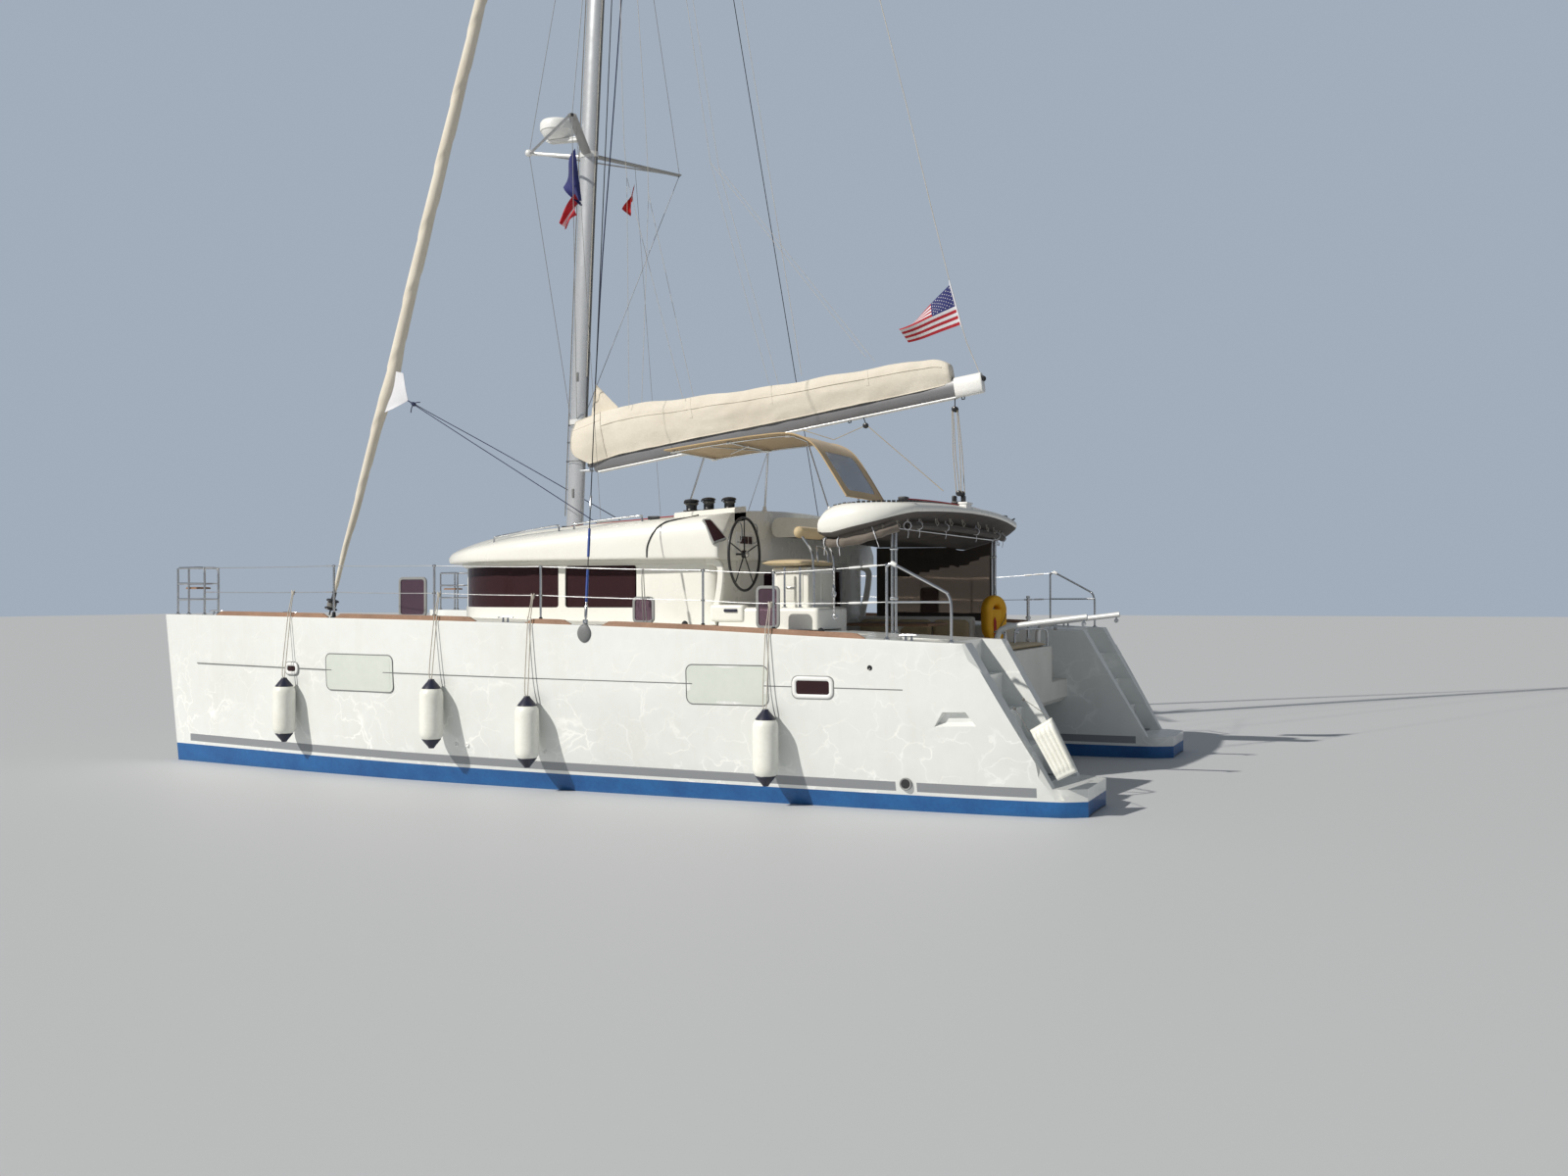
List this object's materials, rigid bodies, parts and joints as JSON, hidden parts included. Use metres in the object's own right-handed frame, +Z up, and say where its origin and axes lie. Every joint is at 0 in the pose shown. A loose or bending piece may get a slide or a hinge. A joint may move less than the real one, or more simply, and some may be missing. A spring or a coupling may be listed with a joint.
{
  "type": "sailing catamaran",
  "caption": "Cruising sailing catamaran afloat: two hulls, bridge deck, glazed deckhouse, raised port helm, hardtop, rig with boom and furled headsail, rudders and propellers.",
  "frame": {"origin": "amidships on the centreline, at the waterline", "axes": "+X towards the bows, +Y to port, +Z up, out of the water"},
  "size_m": [11.925, 7.4367, 20.51],
  "materials": {
    "gelcoat": "polished white gelcoat",
    "antifouling": "matt blue bottom paint",
    "aluminium": "satin anodised",
    "steel": "polished stainless tube and wire",
    "glass": "smoked acrylic",
    "canvas": "tan acrylic canvas",
    "sailcloth": "cream sailcloth and cover",
    "curtain": "dark mesh curtain",
    "black": "black composite",
    "teak": "oiled wood",
    "fender": "soft white vinyl",
    "bronze": "dull bronze",
    "net": "knotless net",
    "cushion": "beige upholstery",
    "iron": "grey enamel"
  },
  "bodies": {
    "boat": {"hull_port": "gelcoat", "hull_starboard": "gelcoat", "engine_port": "iron", "engine_starboard": "iron", "sail_drive_port": "iron", "sail_drive_starboard": "iron", "bridge_deck": "gelcoat", "deckhouse": "gelcoat", "saloon_windows": "glass", "saloon_furniture": "teak", "coachroof": "gelcoat", "helm_station": "gelcoat", "helm_seat": "cushion", "winches": "black", "bimini_canvas": "canvas", "bimini_frame": "steel", "hardtop": "gelcoat", "hardtop_frame": "steel", "curtain_starboard": "curtain", "cockpit_seat": "cushion", "cockpit_table": "teak", "forward_beam": "aluminium", "catwalk": "gelcoat", "trampoline_port": "net", "trampoline_starboard": "net", "anchor": "steel", "bow_rail_port": "steel", "bow_rail_starboard": "steel", "lifelines_port": "steel", "lifelines_starboard": "steel", "mast": "aluminium", "spreaders": "aluminium", "radar": "gelcoat", "furler_drum": "black", "furled_headsail": "sailcloth", "shroud_port": "steel", "shroud_starboard": "steel", "davit_port": "aluminium", "davit_starboard": "aluminium", "fender_1": "fender", "fender_2": "fender", "fender_3": "fender", "fender_4": "fender"},
    "boom": {"boom": "aluminium", "sail_bag": "sailcloth"},
    "wheel": {"steering_wheel": "black"},
    "rudder_port": {"rudder_port": "antifouling"},
    "rudder_starboard": {"rudder_starboard": "antifouling"},
    "propeller_port": {"propeller_port": "bronze"},
    "propeller_starboard": {"propeller_starboard": "bronze"},
    "saloon_door": {"saloon_door": "glass"},
    "engine_lid_port": {"engine_lid_port": "gelcoat"},
    "engine_lid_starboard": {"engine_lid_starboard": "gelcoat"},
    "hatch_fore_port": {"hatch_fore_port": "glass"},
    "hatch_mid_port": {"hatch_mid_port": "glass"},
    "hatch_aft_port": {"hatch_aft_port": "glass"},
    "hatch_fore_starboard": {"hatch_fore_starboard": "glass"},
    "hatch_mid_starboard": {"hatch_mid_starboard": "glass"},
    "hatch_aft_starboard": {"hatch_aft_starboard": "glass"}
  },
  "joints": [
    {"name": "boom_swing", "type": "hinge", "parent": "boat", "child": "boom", "pos_m": [1.31, 0, 3.825], "axis": [-0.0476, 0, 0.9989], "range_deg": [-50, 50]},
    {"name": "rudder_port_turn", "type": "hinge", "parent": "boat", "child": "rudder_port", "pos_m": [-4.85, 2.64, -0.3], "axis": [0, 0, 1], "range_deg": [-35, 35]},
    {"name": "rudder_starboard_turn", "type": "hinge", "parent": "boat", "child": "rudder_starboard", "pos_m": [-4.85, -2.64, -0.3], "axis": [0, 0, 1], "range_deg": [-35, 35]},
    {"name": "wheel_turn", "type": "hinge", "parent": "boat", "child": "wheel", "pos_m": [-1.9, 2.02, 2.545], "axis": [1, 0, 0], "range_deg": [-315, 315]},
    {"name": "propeller_port_spin", "type": "hinge", "parent": "boat", "child": "propeller_port", "pos_m": [-3.965, 2.64, -0.76], "axis": [1, 0, 0], "continuous": true},
    {"name": "propeller_starboard_spin", "type": "hinge", "parent": "boat", "child": "propeller_starboard", "pos_m": [-3.965, -2.64, -0.76], "axis": [1, 0, 0], "continuous": true},
    {"name": "saloon_door_slide", "type": "slide", "parent": "boat", "child": "saloon_door", "axis": [0, 1, 0], "range_m": [0, 0.9]},
    {"name": "engine_lid_port_hinge", "type": "hinge", "parent": "boat", "child": "engine_lid_port", "pos_m": [-3.996, 3.01, 1.6422], "axis": [0, 1, 0], "range_deg": [0, 85]},
    {"name": "engine_lid_starboard_hinge", "type": "hinge", "parent": "boat", "child": "engine_lid_starboard", "pos_m": [-3.996, -3.01, 1.6422], "axis": [0, 1, 0], "range_deg": [0, 85]},
    {"name": "hatch_fore_port_hinge", "type": "hinge", "parent": "boat", "child": "hatch_fore_port", "pos_m": [2.05, 2.79, 1.8399], "axis": [1, 0, 0], "range_deg": [-90, 0]},
    {"name": "hatch_mid_port_hinge", "type": "hinge", "parent": "boat", "child": "hatch_mid_port", "pos_m": [-1.04, 2.79, 1.7833], "axis": [1, 0, 0], "range_deg": [-90, 0]},
    {"name": "hatch_aft_port_hinge", "type": "hinge", "parent": "boat", "child": "hatch_aft_port", "pos_m": [-2.525, 2.79, 1.7356], "axis": [1, 0, 0], "range_deg": [-90, 0]},
    {"name": "hatch_fore_starboard_hinge", "type": "hinge", "parent": "boat", "child": "hatch_fore_starboard", "pos_m": [2.05, -2.79, 1.8399], "axis": [1, 0, 0], "range_deg": [0, 90]},
    {"name": "hatch_mid_starboard_hinge", "type": "hinge", "parent": "boat", "child": "hatch_mid_starboard", "pos_m": [-1.04, -2.79, 1.7833], "axis": [1, 0, 0], "range_deg": [0, 90]},
    {"name": "hatch_aft_starboard_hinge", "type": "hinge", "parent": "boat", "child": "hatch_aft_starboard", "pos_m": [-2.525, -2.79, 1.7356], "axis": [1, 0, 0], "range_deg": [0, 90]}
  ],
  "couplings": [
    {"joint": "rudder_starboard_turn", "follows": "rudder_port_turn", "ratio": 1},
    {"joint": "wheel_turn", "follows": "rudder_port_turn", "ratio": 9}
  ]
}
